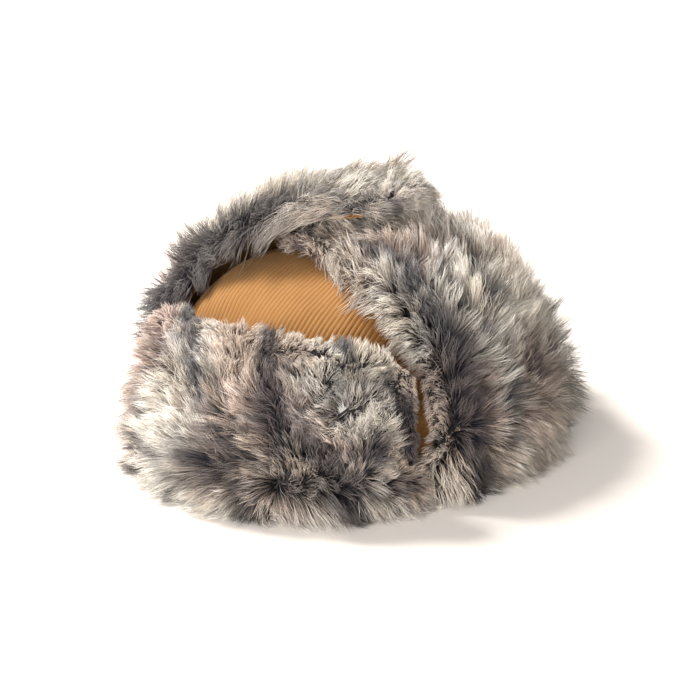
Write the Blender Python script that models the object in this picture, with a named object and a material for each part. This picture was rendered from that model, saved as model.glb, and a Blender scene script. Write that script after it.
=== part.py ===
"""Trapper hat: a corduroy crown with a tacked-up fur visor, two ear flaps and a neck flap.

The hat faces -Y and rests on its rim at z = 0. +X is the wearer's left. Lengths are metres.
Every layer is a stretch of one dome: an ellipse in plan and a superellipse in profile. A place on a
dome is given by its plan shares, x over the dome's half width and y over its half length.
"""

import math
from collections import namedtuple

import bmesh
import bpy
from mathutils import Vector

# The head, as the sweatband holds it
HEAD_HALF_WIDTH = 0.0800
HEAD_HALF_LENGTH = 0.1005
HEAD_ROOM = 0.0925
CROWN_POWER = 2.6

# Layers of the crown, from the head outwards
SEW_GAP = 0.0003
SWEATBAND_THICKNESS = 0.0012
SWEATBAND_HEIGHT = 0.0340
SWEATBAND_EASE = 0.0007
LINING_THICKNESS = 0.0010
WADDING_THICKNESS = 0.0020
CORDUROY_THICKNESS = 0.0020
INNER_HEM = 0.0025
PANEL_HALF_WIDTH = 0.0520
SEAM_GAP = 0.0003

# The size label, sewn to the back of the sweatband
LABEL_HALF_WIDTH = 0.0150
LABEL_HEIGHT = 0.0220
LABEL_THICKNESS = 0.0006

# The flaps and the visor, outside the crown
FLAP_STAND_OFF = 0.0030
SHELL_THICKNESS = 0.0016
PILE_DEPTH = 0.0112
PRESSED_PILE_DEPTH = 0.0105
FLAP_LIFT = 0.0010
FLAP_POWER = 2.5

# The visor
VISOR_HEIGHT = 0.0860
VISOR_CORNER_DROP = 0.0150
VISOR_HALF_ANGLE = 53.0
VISOR_LEAN = 0.160
VISOR_END_LEAN = 0.030
STIFFENER_THICKNESS = 0.0010
STIFFENER_MARGIN = 0.0060
STIFFENER_EASE = 0.0008
TACK_ANGLE = 32.0
TACK_HEIGHT = 0.0600
TACK_RADIUS = 0.0011

# The ear flaps
EAR_FRONT_ANGLE = 61.0
EAR_BACK_ANGLE = 138.0
LEFT_TIP_REACH = 0.0310
RIGHT_TIP_REACH = 0.0190
LEFT_TIP_FRONT = 0.0150
RIGHT_TIP_FRONT = 0.0040
TIP_BACK = 0.0470
TIP_CORNER = 0.0120
OVERLAP_GAP = 0.0062
RIGHT_FLAP_POWER = 2.45
TIP_CURL = 0.0040

# The neck flap
NECK_SLIT = 0.0040
NECK_TOP = 0.0620
NECK_TAPER = 0.85

# The press stud at the tips of the ear flaps
STUD_PLACE = 0.0120
STUD_RADIUS = 0.0070
STUD_PLATE = 0.0011
STUD_BALL_RADIUS = 0.0022
STUD_BALL_HEIGHT = 0.0010
SOCKET_HEIGHT = 0.0022
SOCKET_CLEARANCE = 0.0005

# How finely the curved sheets are divided
DOME_SECTORS = 36
DOME_RINGS = 9
FLAP_COLUMNS = 10
FLAP_ROWS = 12
VISOR_COLUMNS = 16
VISOR_ROWS = 5
NECK_ROWS = 6
SWEATBAND_ROWS = 3
DISC_SIDES = 20

Layer = namedtuple("Layer", "half_width half_length height power")

CORDUROY = ("corduroy", (0.60, 0.32, 0.10), 0.95)
LINING = ("lining", (0.10, 0.09, 0.085), 0.45)
WADDING = ("wadding", (0.82, 0.81, 0.78), 1.0)
RIBBON = ("ribbon", (0.07, 0.06, 0.055), 0.7)
LABEL = ("label", (0.75, 0.74, 0.70), 0.8)
FUR = ("fur", (0.36, 0.33, 0.31), 1.0)
BOARD = ("board", (0.60, 0.58, 0.54), 0.9)
THREAD = ("thread", (0.20, 0.12, 0.07), 0.8)
METAL = ("metal", (0.30, 0.28, 0.26), 0.35)


def clear_scene():
    for item in list(bpy.data.objects):
        bpy.data.objects.remove(item, do_unlink=True)


def make_material(name, finish):
    kind, colour, roughness = finish
    material = bpy.data.materials.new(f"{name}_{kind}")
    material.use_nodes = True
    shader = material.node_tree.nodes["Principled BSDF"]
    shader.inputs["Base Color"].default_value = (*colour, 1.0)
    shader.inputs["Roughness"].default_value = roughness
    shader.inputs["Metallic"].default_value = 1.0 if kind == "metal" else 0.0
    return material


def add_object(name, mesh_data, finish, origin=(0.0, 0.0, 0.0)):
    """Finishes a bmesh into an object whose origin is where its joint is."""
    mesh_data.normal_update()
    bmesh.ops.recalc_face_normals(mesh_data, faces=mesh_data.faces)
    bmesh.ops.translate(mesh_data, verts=mesh_data.verts, vec=-Vector(origin))
    mesh = bpy.data.meshes.new(name)
    mesh_data.to_mesh(mesh)
    mesh_data.free()
    mesh.shade_smooth()
    mesh.set_sharp_from_angle(angle=math.radians(40))
    mesh.materials.append(make_material(name, finish))
    item = bpy.data.objects.new(name, mesh)
    item.location = origin
    bpy.context.collection.objects.link(item)
    return item


def grown(layer, amount):
    """The layer's dome, larger by one thickness all over."""
    return Layer(
        layer.half_width + amount,
        layer.half_length + amount,
        layer.height + amount,
        layer.power,
    )


def dome_rise(radius, power):
    """Height over the dome's full height, at a share of its plan radius."""
    return max(0.0, 1.0 - min(1.0, radius) ** power) ** (1.0 / power)


def dome_point(layer, plan):
    rise = dome_rise(math.hypot(plan[0], plan[1]), layer.power)
    return Vector((layer.half_width * plan[0], layer.half_length * plan[1], layer.height * rise))


def wall_point(layer, angle, height, share=None):
    """A point of the dome's wall, its angle in degrees from the front towards the wearer's left."""
    if share is None:
        share = dome_rise(height / layer.height, layer.power)
    turn = math.radians(angle)
    return Vector(
        (
            layer.half_width * share * math.sin(turn),
            -layer.half_length * share * math.cos(turn),
            height,
        )
    )


def steps(start, end, count):
    return [start + (end - start) * i / count for i in range(count + 1)]


def sheet_solid(inner, outer):
    """A closed solid between two grids of points that match each other."""
    solid = bmesh.new()
    grids = [[[solid.verts.new(point) for point in row] for row in grid] for grid in (inner, outer)]
    rows, columns = len(inner), len(inner[0])
    for grid in grids:
        for i in range(rows - 1):
            for j in range(columns - 1):
                solid.faces.new((grid[i][j], grid[i][j + 1], grid[i + 1][j + 1], grid[i + 1][j]))
    border = [(0, j) for j in range(columns - 1)]
    border += [(i, columns - 1) for i in range(rows - 1)]
    border += [(rows - 1, j) for j in range(columns - 1, 0, -1)]
    border += [(i, 0) for i in range(rows - 1, 0, -1)]
    for (i, j), (k, m) in zip(border, border[1:] + border[:1]):
        solid.faces.new((grids[0][i][j], grids[0][k][m], grids[1][k][m], grids[1][i][j]))
    return solid


def dome_rings(solid, layer, bottom):
    """Rings of vertices from the dome's hem to just below its top, and the vertex at its top."""
    low = math.asin((bottom / layer.height) ** (layer.power / 2.0))
    heights = [
        layer.height * math.sin(lift) ** (2.0 / layer.power)
        for lift in steps(low, math.pi / 2, DOME_RINGS)[:-1]
    ]
    rings = []
    for height in heights:
        angles = [360.0 * i / DOME_SECTORS for i in range(DOME_SECTORS)]
        rings.append([solid.verts.new(wall_point(layer, angle, height)) for angle in angles])
    return rings, solid.verts.new((0.0, 0.0, layer.height))


def dome_shell(inner_layer, outer_layer, bottom):
    """A whole dome with its wall between two layers, open at the hem."""
    solid = bmesh.new()
    surfaces = [dome_rings(solid, layer, bottom) for layer in (inner_layer, outer_layer)]
    for rings, top in surfaces:
        for lower, upper in zip(rings, rings[1:]):
            for i in range(DOME_SECTORS):
                j = (i + 1) % DOME_SECTORS
                solid.faces.new((lower[i], lower[j], upper[j], upper[i]))
        for i in range(DOME_SECTORS):
            solid.faces.new((rings[-1][i], rings[-1][(i + 1) % DOME_SECTORS], top))
    inner_hem, outer_hem = surfaces[0][0][0], surfaces[1][0][0]
    for i in range(DOME_SECTORS):
        j = (i + 1) % DOME_SECTORS
        solid.faces.new((inner_hem[i], inner_hem[j], outer_hem[j], outer_hem[i]))
    return solid


def add_cutter(name, low, high):
    """A block that keeps one panel of a dome. It isn't a part."""
    block = bmesh.new()
    bmesh.ops.create_cube(block, size=1.0)
    low, high = Vector(low), Vector(high)
    for vert in block.verts:
        vert.co = (low + high) / 2 + Vector(a * b for a, b in zip(vert.co, high - low))
    cutter = add_object(name, block, BOARD)
    cutter.hide_render = True
    cutter.display_type = "WIRE"
    return cutter


def add_panels(prefix, inner_layer, outer_layer, bottom, finish, cutters):
    """A dome cut into a centre panel and two side panels, one object each."""
    for side, cutter in cutters.items():
        panel = add_object(f"{prefix}_{side}_panel", dome_shell(inner_layer, outer_layer, bottom), finish)
        cut = panel.modifiers.new("panel", "BOOLEAN")
        cut.operation = "INTERSECT"
        cut.solver = "EXACT"
        cut.object = cutter


def add_sweatband(layer):
    """A ribbon ring inside the hem of the lining."""
    ring = bmesh.new()
    heights = steps(INNER_HEM, SWEATBAND_HEIGHT, SWEATBAND_ROWS)
    outer = grown(layer, SWEATBAND_THICKNESS)
    outline = [(layer, z) for z in heights] + [(outer, z) for z in reversed(heights)]
    angles = [360.0 * i / DOME_SECTORS for i in range(DOME_SECTORS)]
    loops = [[ring.verts.new(wall_point(dome, a, z)) for a in angles] for dome, z in outline]
    for here, there in zip(loops, loops[1:] + loops[:1]):
        for i in range(DOME_SECTORS):
            j = (i + 1) % DOME_SECTORS
            ring.faces.new((here[i], here[j], there[j], there[i]))
    add_object("sweatband", ring, RIBBON)


def add_size_label(layer):
    """A blank cloth label on the back of the sweatband, a gap inside it."""
    outside = grown(layer, -SEW_GAP * 2)
    inside = grown(outside, -LABEL_THICKNESS)
    half_turn = math.degrees(LABEL_HALF_WIDTH / layer.half_width)
    bottom = INNER_HEM + SEW_GAP
    angles = steps(180.0 - half_turn, 180.0 + half_turn, 4)
    grids = [
        [[wall_point(dome, a, z) for a in angles] for z in steps(bottom, bottom + LABEL_HEIGHT, 3)]
        for dome in (inside, outside)
    ]
    add_object("size_label", sheet_solid(*grids), LABEL)


def visor_share(angle, height):
    """How far the visor leans in at a height: more in the middle, where it is tacked."""
    across = angle / VISOR_HALF_ANGLE
    lean = VISOR_LEAN + (VISOR_END_LEAN - VISOR_LEAN) * across**2
    return 1.0 - lean * (height / VISOR_HEIGHT) ** 2


def visor_grid(layer, margin=0.0):
    """Points of a visor layer. The margin draws its edges in."""
    half_angle = VISOR_HALF_ANGLE - math.degrees(margin / layer.half_length)
    rows = []
    for row in range(VISOR_ROWS + 1):
        points = []
        for angle in steps(-half_angle, half_angle, VISOR_COLUMNS):
            top = VISOR_HEIGHT - VISOR_CORNER_DROP * (angle / VISOR_HALF_ANGLE) ** 4 - margin
            height = FLAP_LIFT + margin + (top - FLAP_LIFT - margin) * row / VISOR_ROWS
            points.append(wall_point(layer, angle, height, visor_share(angle, height)))
        rows.append(points)
    return rows


def add_visor(backing_inner):
    backing_outer = grown(backing_inner, SHELL_THICKNESS)
    board_inner = grown(backing_outer, STIFFENER_EASE)
    board_outer = grown(board_inner, STIFFENER_THICKNESS)
    fur_inner = grown(board_outer, STIFFENER_EASE)
    fur_outer = grown(backing_outer, SEW_GAP + PILE_DEPTH)
    add_object("visor_backing", sheet_solid(visor_grid(backing_inner), visor_grid(backing_outer)), CORDUROY)
    board = (visor_grid(board_inner, STIFFENER_MARGIN), visor_grid(board_outer, STIFFENER_MARGIN))
    add_object("visor_stiffener", sheet_solid(*board), BOARD)
    add_object("visor_fur", sheet_solid(visor_grid(fur_inner), visor_grid(fur_outer)), FUR)


def add_tack(name, angle, crown_layer, visor_layer):
    """A short bar of thread from the crown to the visor's backing."""
    start = wall_point(crown_layer, angle, TACK_HEIGHT)
    end = wall_point(visor_layer, angle, TACK_HEIGHT, visor_share(angle, TACK_HEIGHT))
    along = (end - start).normalized()
    start += along * (TACK_RADIUS + SEW_GAP)
    end -= along * (TACK_RADIUS + SEW_GAP)
    bar = bmesh.new()
    bmesh.ops.create_cone(
        bar,
        cap_ends=True,
        segments=DISC_SIDES // 2,
        radius1=TACK_RADIUS,
        radius2=TACK_RADIUS,
        depth=(end - start).length,
    )
    turn = Vector((0.0, 0.0, 1.0)).rotation_difference(along).to_matrix()
    for vert in bar.verts:
        vert.co = (start + end) / 2 + turn @ vert.co
    add_object(name, bar, THREAD)


def ear_plan(layer, side, reach, tip_front):
    """Plan shares of an ear flap, row by row from the fold to its tip past the middle of the crown."""
    columns = []
    for j in range(FLAP_COLUMNS + 1):
        across = j / FLAP_COLUMNS
        turn = math.radians(EAR_FRONT_ANGLE + (EAR_BACK_ANGLE - EAR_FRONT_ANGLE) * across)
        corner = TIP_CORNER * abs(2 * across - 1) ** 4
        fold = Vector((math.sin(turn), -math.cos(turn)))
        tip = Vector(
            (
                (corner - reach) / layer.half_width,
                (-tip_front + (tip_front + TIP_BACK) * across) / layer.half_length,
            )
        )
        columns.append((fold, tip))
    rows = []
    for i in range(FLAP_ROWS + 1):
        share = 1.0 - math.cos(math.pi / 2 * i / FLAP_ROWS)
        row = [fold.lerp(tip, share) for fold, tip in columns]
        rows.append([(side * plan.x, plan.y) for plan in row])
    return rows


def flap_grid(layer, plan_rows, curl=0.0, reach=1.0):
    """Points of a flap layer. The curl lifts what lies past the middle of the crown, on +X."""
    grid = []
    for row in plan_rows:
        points = []
        for plan in row:
            point = dome_point(layer, plan)
            point.z = max(point.z, FLAP_LIFT) + curl * (max(0.0, point.x) / reach) ** 2
            points.append(point)
        grid.append(points)
    return grid


def add_flap(name, layers, plan_rows, hinge, curl=0.0, reach=1.0):
    """A flap's corduroy shell and its fur, between three layers and a gap."""
    shell_inner, shell_outer, fur_outer = layers
    fur_inner = grown(shell_outer, SEW_GAP)
    grids = [flap_grid(layer, plan_rows, curl, reach) for layer in (shell_inner, shell_outer)]
    add_object(f"{name}_shell", sheet_solid(*grids), CORDUROY, hinge)
    grids = [flap_grid(layer, plan_rows, curl, reach) for layer in (fur_inner, fur_outer)]
    add_object(f"{name}_fur", sheet_solid(*grids), FUR, hinge)


def neck_plan(layer):
    """Plan shares of the neck flap, which fills the space between the ear flaps' back edges."""
    slit = math.degrees(NECK_SLIT / layer.half_width)
    corner_turn = math.radians(EAR_BACK_ANGLE)
    ear_corner = Vector((math.sin(corner_turn), -math.cos(corner_turn)))
    rows = []
    for i in range(NECK_ROWS + 1):
        share = 1.0 - math.cos(math.pi / 2 * i / NECK_ROWS)
        row = []
        for angle in steps(EAR_BACK_ANGLE + slit, 360.0 - EAR_BACK_ANGLE - slit, FLAP_COLUMNS):
            turn = math.radians(angle)
            fold = Vector((math.sin(turn), -math.cos(turn)))
            across = abs(fold.x) / ear_corner.x
            top_y = NECK_TOP / layer.half_length
            top_y += (ear_corner.y + NECK_SLIT / layer.half_length - top_y) * across
            top = Vector((fold.x * NECK_TAPER, top_y))
            row.append(tuple(fold.lerp(top, share)))
        rows.append(row)
    return rows


def turned_solid(outline, centre):
    """A solid of revolution about a vertical axis, from (radius, height) pairs that start on it."""
    solid = bmesh.new()
    loops = []
    for radius, height in outline:
        if radius == 0.0:
            loops.append([solid.verts.new((centre[0], centre[1], height))])
            continue
        turns = [2 * math.pi * i / DISC_SIDES for i in range(DISC_SIDES)]
        loops.append(
            [
                solid.verts.new((centre[0] + radius * math.cos(t), centre[1] + radius * math.sin(t), height))
                for t in turns
            ]
        )
    for here, there in zip(loops, loops[1:]):
        for i in range(DISC_SIDES):
            j = (i + 1) % DISC_SIDES
            corners = [here[i % len(here)], here[j % len(here)], there[j % len(there)], there[i % len(there)]]
            solid.faces.new(list(dict.fromkeys(corners)))
    return solid


def add_press_stud(left_fur, right_shell, left_hinge, right_hinge):
    """The ball half lies on the left tip and the socket half under the right one, just apart."""
    place = (0.0, STUD_PLACE)
    near_edge = (0.0, (STUD_PLACE - STUD_RADIUS) / left_fur.half_length)
    far_edge = (0.0, (STUD_PLACE + STUD_RADIUS) / right_shell.half_length)
    base = dome_point(left_fur, near_edge).z + SEW_GAP
    ball = [
        (0.0, base),
        (STUD_RADIUS, base),
        (STUD_RADIUS, base + STUD_PLATE),
        (STUD_BALL_RADIUS, base + STUD_PLATE),
        (STUD_BALL_RADIUS * 0.7, base + STUD_PLATE + STUD_BALL_HEIGHT),
        (0.0, base + STUD_PLATE + STUD_BALL_HEIGHT),
    ]
    add_object("press_stud_ball", turned_solid(ball, place), METAL, left_hinge)
    top = dome_point(right_shell, far_edge).z - 2 * SEW_GAP
    bottom = top - SOCKET_HEIGHT
    well = STUD_BALL_RADIUS + SOCKET_CLEARANCE
    socket = [
        (0.0, bottom + SOCKET_HEIGHT / 2),
        (well, bottom + SOCKET_HEIGHT / 2),
        (well, bottom),
        (STUD_RADIUS, bottom),
        (STUD_RADIUS, top),
        (0.0, top),
    ]
    add_object("press_stud_socket", turned_solid(socket, place), METAL, right_hinge)


def build_hat():
    head = Layer(HEAD_HALF_WIDTH, HEAD_HALF_LENGTH, HEAD_ROOM, CROWN_POWER)
    lining_inner = grown(head, SWEATBAND_THICKNESS + SWEATBAND_EASE)
    lining_outer = grown(lining_inner, LINING_THICKNESS)
    wadding_inner = grown(lining_outer, SEW_GAP)
    wadding_outer = grown(wadding_inner, WADDING_THICKNESS)
    crown_inner = grown(wadding_outer, SEW_GAP)
    crown_outer = grown(crown_inner, CORDUROY_THICKNESS)

    add_sweatband(head)
    add_size_label(head)

    reach = 2 * crown_outer.half_length
    inner_edge, outer_edge = PANEL_HALF_WIDTH - SEAM_GAP / 2, PANEL_HALF_WIDTH + SEAM_GAP / 2
    cutters = {
        "centre": add_cutter("cutter_centre", (-inner_edge, -reach, -reach), (inner_edge, reach, reach)),
        "left": add_cutter("cutter_left", (outer_edge, -reach, -reach), (reach, reach, reach)),
        "right": add_cutter("cutter_right", (-reach, -reach, -reach), (-outer_edge, reach, reach)),
    }
    add_panels("lining", lining_inner, lining_outer, INNER_HEM, LINING, cutters)
    add_panels("wadding", wadding_inner, wadding_outer, INNER_HEM, WADDING, cutters)
    add_panels("crown", crown_inner, crown_outer, 0.0, CORDUROY, cutters)

    shell_inner = grown(crown_outer, FLAP_STAND_OFF)._replace(power=FLAP_POWER)
    shell_outer = grown(shell_inner, SHELL_THICKNESS)
    fur_outer = grown(shell_outer, SEW_GAP + PILE_DEPTH)
    add_visor(shell_inner)
    add_tack("visor_tack_left", TACK_ANGLE, crown_outer, shell_inner)
    add_tack("visor_tack_right", -TACK_ANGLE, crown_outer, shell_inner)

    fold_x = crown_outer.half_width + FLAP_STAND_OFF / 2
    left_hinge, right_hinge = (fold_x, 0.0, 0.0), (-fold_x, 0.0, 0.0)
    neck_hinge = (0.0, crown_outer.half_length + FLAP_STAND_OFF / 2, 0.0)
    left_fur = fur_outer._replace(height=shell_outer.height + SEW_GAP + PRESSED_PILE_DEPTH)
    left_layers = (shell_inner, shell_outer, left_fur)
    left_plan = ear_plan(shell_inner, 1.0, LEFT_TIP_REACH, LEFT_TIP_FRONT)
    add_flap("ear_flap_left", left_layers, left_plan, left_hinge)

    right_inner = shell_inner._replace(height=left_fur.height + OVERLAP_GAP, power=RIGHT_FLAP_POWER)
    right_outer = grown(right_inner, SHELL_THICKNESS)
    right_layers = (right_inner, right_outer, grown(right_outer, SEW_GAP + PILE_DEPTH))
    right_plan = ear_plan(right_inner, -1.0, RIGHT_TIP_REACH, RIGHT_TIP_FRONT)
    add_flap("ear_flap_right", right_layers, right_plan, right_hinge, TIP_CURL, RIGHT_TIP_REACH)

    add_flap("neck_flap", (shell_inner, shell_outer, fur_outer), neck_plan(shell_inner), neck_hinge)
    add_press_stud(left_fur, right_inner, left_hinge, right_hinge)


clear_scene()
build_hat()
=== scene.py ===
import math

import bpy
import numpy as np
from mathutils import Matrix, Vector
from mathutils.kdtree import KDTree


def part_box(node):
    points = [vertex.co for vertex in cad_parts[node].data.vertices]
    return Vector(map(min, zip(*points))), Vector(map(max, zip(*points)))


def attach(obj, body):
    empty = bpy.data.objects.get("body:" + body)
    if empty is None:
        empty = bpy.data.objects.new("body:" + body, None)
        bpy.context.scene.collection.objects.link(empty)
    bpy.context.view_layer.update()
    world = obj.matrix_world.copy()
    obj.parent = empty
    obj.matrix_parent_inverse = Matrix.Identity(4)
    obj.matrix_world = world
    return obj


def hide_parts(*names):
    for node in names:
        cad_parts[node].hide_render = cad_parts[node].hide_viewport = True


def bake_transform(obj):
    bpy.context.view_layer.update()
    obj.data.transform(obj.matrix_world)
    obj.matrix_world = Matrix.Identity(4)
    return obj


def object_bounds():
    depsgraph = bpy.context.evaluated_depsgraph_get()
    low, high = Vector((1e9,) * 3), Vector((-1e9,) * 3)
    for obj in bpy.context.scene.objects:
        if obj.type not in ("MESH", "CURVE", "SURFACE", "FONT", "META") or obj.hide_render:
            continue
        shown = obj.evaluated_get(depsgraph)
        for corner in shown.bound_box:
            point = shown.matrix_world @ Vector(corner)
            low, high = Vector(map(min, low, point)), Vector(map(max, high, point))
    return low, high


# Looks for the trapper hat, in metres and degrees. A surface is a function of two shares, u across
# a piece and v up it, and of a depth outwards. The crown, the flaps and the visor are stretches of
# domes: (half width, half length, height, power), an ellipse in plan, a superellipse in profile.

SEED = 7
WORLD_LIGHT = 0.40
LIT_HEIGHT = 0.05
VIEW_WIDTH = 0.3553
VIEW_HEIGHT = 0.0486
SHELL = 0.0016
CORDUROY = 0.0020
FLAP_LIFT = 0.0010
FLOOR_GAP = 0.0002
SKIN = 0.0022
FLAP_SKIN_START = 0.0003
VISOR_SKIN_START = 0.0026

CROWN_POWER = 2.6
FLAP_POWER = 2.5
RIGHT_FLAP_POWER = 2.45
OVERLAP_LIFT = 0.0186
TIP_CURL = 0.0040
PANEL_HALF_WIDTH = 0.0520
PANEL_GAP = 0.00015
TOPSTITCH_GAP = 0.0034
LINING_DEPTH = 0.0046

EAR_ANGLES = (61.0, 138.0)
EAR_TIP_BACK = 0.0470
EAR_TIP_CORNER = 0.0120
LEFT_EAR = {"side": 1.0, "reach": 0.0310, "tip_front": 0.0150, "curl": 0.0}
RIGHT_EAR = {"side": -1.0, "reach": 0.0190, "tip_front": 0.0040, "curl": TIP_CURL}
NECK_SLIT = 0.0040
NECK_TOP = 0.0620
NECK_TAPER = 0.85
VISOR_HALF_ANGLE = 53.0
VISOR_CORNER_DROP = 0.0150
VISOR_LEAN = (0.160, 0.030)
TACK_ANGLE = 32.0
TACK_HEIGHT = 0.0640
TACK_DENT = 0.0055
PLY_REACH = 0.00052
PLY_RADIUS = 0.00058
ARC_PER_DEGREE = 0.0018
VISOR_PARTINGS = [(17, 0.020, -7, 0.052), (19, 0.022, 12, 0.062), (6, 0.018, -15, 0.031)]
VISOR_PARTINGS += [(-28, 0.020, -41, 0.052), (36, 0.022, 44, 0.040)]
EAR_PARTINGS = [(78, 0.018, 88, 0.058), (99, 0.036, 103, 0.052), (112, 0.020, 121, 0.046)]
EAR_PARTINGS += [(92, 0.074, 101, 0.088)]

WALE = 0.0023
WALE_DEPTH = 0.00055
CREASE = 0.0006
QUILT = 0.0260
QUILT_PUFF = 0.0034
QUILT_SINK = 0.0022
CLOTH_FRAMES = 20
SWEATBAND_LEAN = 0.0292
FOLD_THICKNESS = 0.0006
SHOULDER = np.array([-0.052, -0.048, 0.086])
SHOULDER_SPREAD = np.array([0.034, 0.042, 0.030])
SHOULDER_RISE = 0.0065

STRAND_RINGS = 3
STRAND_SIDES = 3
STRANDS_PER_PIECE = 12000
STRANDS_PER_EDGE_STRAND = 7
LOCK = 17
WIDE_LOCK = 220
PILE = 0.0225
STRAND_RADIUS = 0.00020
EDGE_LENGTH = 0.74
TIP_MARGIN = 0.0060
TIP_ROOM = 0.0080


def make_camera():
    data = bpy.data.cameras.new("camera")
    data.lens = 300.0
    data.clip_end = 30.0
    camera = bpy.data.objects.new("camera", data)
    bpy.context.scene.collection.objects.link(camera)
    azimuth, elevation = math.radians(30), math.radians(20)
    level, up = math.cos(elevation), math.sin(elevation)
    direction = Vector((math.sin(azimuth) * level, -math.cos(azimuth) * level, up))
    distance = VIEW_WIDTH * data.lens / data.sensor_width
    camera.location = Vector((0.0, 0.0, VIEW_HEIGHT)) + direction * distance
    camera.rotation_euler = direction.to_track_quat("Z", "Y").to_euler()
    bpy.context.scene.camera = camera


# Surfaces


def dome(layer, x, y, depth=0.0):
    """Points of a dome at plan shares x and y, the dome grown by the depth."""
    half_width, half_length, height, power = layer
    radius = np.minimum(np.hypot(x, y), 1.0)
    rise = (1.0 - radius**power) ** (1.0 / power)
    points = [(half_width + depth) * x, (half_length + depth) * y, (height + depth) * rise]
    return np.stack(points, axis=-1)


def towards(turn, top_x, top_y, v):
    """Plan shares from the hem at a turn from the front, over the dome to a place near its top."""
    share = 1.0 - np.cos(np.pi / 2 * v)
    x = np.sin(turn) + (top_x - np.sin(turn)) * share
    return x, -np.cos(turn) + (top_y + np.cos(turn)) * share


def ear_surface(layer, side, reach, tip_front, curl):
    half_width, half_length = layer[0] - SHELL, layer[1] - SHELL

    def at(u, v, depth):
        turn = np.radians(EAR_ANGLES[0] + (EAR_ANGLES[1] - EAR_ANGLES[0]) * u)
        tip_x = (EAR_TIP_CORNER * np.abs(2 * u - 1) ** 4 - reach) / half_width
        tip_y = (-tip_front + (tip_front + EAR_TIP_BACK) * u) / half_length
        x, y = towards(turn, tip_x, tip_y, v)
        point = dome(layer, side * x, y, depth)
        keep_above(point, FLAP_LIFT)
        point[..., 2] += curl * (np.maximum(0.0, point[..., 0]) / reach) ** 2
        return point

    return at


def neck_surface(layer):
    half_width, half_length = layer[0] - SHELL, layer[1] - SHELL
    slit = math.degrees(NECK_SLIT / half_width)
    corner = math.radians(EAR_ANGLES[1])

    def at(u, v, depth):
        start = EAR_ANGLES[1] + slit
        turn = np.radians(start + (360.0 - 2 * start) * u)
        across = np.abs(np.sin(turn)) / math.sin(corner)
        top_y = NECK_TOP / half_length
        top_y = top_y + (-math.cos(corner) + NECK_SLIT / half_length - top_y) * across
        share = 1.0 - np.cos(np.pi / 2 * v)
        x = np.sin(turn) * (1.0 + (NECK_TAPER - 1.0) * share)
        y = -np.cos(turn) + (top_y + np.cos(turn)) * share
        point = dome(layer, x, y, depth)
        keep_above(point, FLAP_LIFT)
        return point

    return at


def visor_surface(layer, height):
    half_width, half_length = layer[0] - SHELL, layer[1] - SHELL

    def at(u, v, depth):
        across = 2 * u - 1
        turn = np.radians(VISOR_HALF_ANGLE * across)
        top = height - VISOR_CORNER_DROP * across**4
        z = FLAP_LIFT + (top - FLAP_LIFT) * v
        lean = VISOR_LEAN[0] + (VISOR_LEAN[1] - VISOR_LEAN[0]) * across**2
        share = 1.0 - lean * (z / height) ** 2
        dent = tack_dent(turn, z)
        reach = depth + SHELL - TACK_DENT * dent * (depth > 0.0005)
        x = (half_width + reach) * share * np.sin(turn)
        y = -(half_length + reach) * share * np.cos(turn)
        return np.stack([x, y, z], axis=-1)

    return at


def tack_dent(turn, z):
    """1 where a tack pulls the visor in, down to 0 away from it."""
    dent = 0.0
    for side in (-1.0, 1.0):
        along = 0.1 * (turn - side * math.radians(TACK_ANGLE))
        dent = dent + np.exp(-((along / 0.007) ** 2) - ((z - TACK_HEIGHT) / 0.012) ** 2)
    return dent


def frame_at(surface, u, v, depth, side):
    """Points, outward normals, unit vectors along u and v, and the area each share covers."""
    step = 0.002
    low_u, high_u = np.maximum(u - step, 0.0), np.minimum(u + step, 1.0)
    low_v, high_v = np.maximum(v - step, 0.0), np.minimum(v + step, 1.0)
    along_u = (surface(high_u, v, depth) - surface(low_u, v, depth)) / (high_u - low_u)[..., None]
    along_v = (surface(u, high_v, depth) - surface(u, low_v, depth)) / (high_v - low_v)[..., None]
    normal = side * np.cross(along_u, along_v)
    area = np.linalg.norm(normal, axis=-1)
    normal = normal / np.maximum(area, 1e-12)[..., None]
    return surface(u, v, depth), normal, unit(along_u), unit(along_v), area


def unit(vectors):
    return vectors / np.maximum(np.linalg.norm(vectors, axis=-1), 1e-12)[..., None]


def smooth(low, high, value):
    share = np.clip((value - low) / (high - low), 0.0, 1.0)
    return share * share * (3 - 2 * share)


def fall(low, high, value):
    """1 up to low, down to 0 at high."""
    return 1.0 - smooth(low, high, value)


def bell(value, width):
    """1 where the value is 0, and less the more widths it is away."""
    return np.exp(-((value / width) ** 2))


def full_turn(count):
    return np.linspace(0.0, 2 * np.pi, count, endpoint=False)


def keep_above(points, height):
    """Raises, in place, the points that lie below the height."""
    points[..., 2] = np.maximum(points[..., 2], height)


def waves(points, size, seed):
    """Smooth noise of about -1 to 1, whose features are about as large as size."""
    pick = np.random.default_rng(seed)
    total = np.zeros(points.shape[:-1])
    for _ in range(7):
        direction = unit(pick.normal(size=3))
        rate = 2 * math.pi / size * pick.uniform(0.45, 1.1)
        total += np.sin(points @ direction * rate + pick.uniform(0, 2 * math.pi))
    return total / 2.6


# Meshes


def link(name, mesh, material, body):
    mesh.materials.append(material)
    piece = bpy.data.objects.new(name, mesh)
    bpy.context.scene.collection.objects.link(piece)
    if body:
        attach(piece, body)
    return piece


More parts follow.
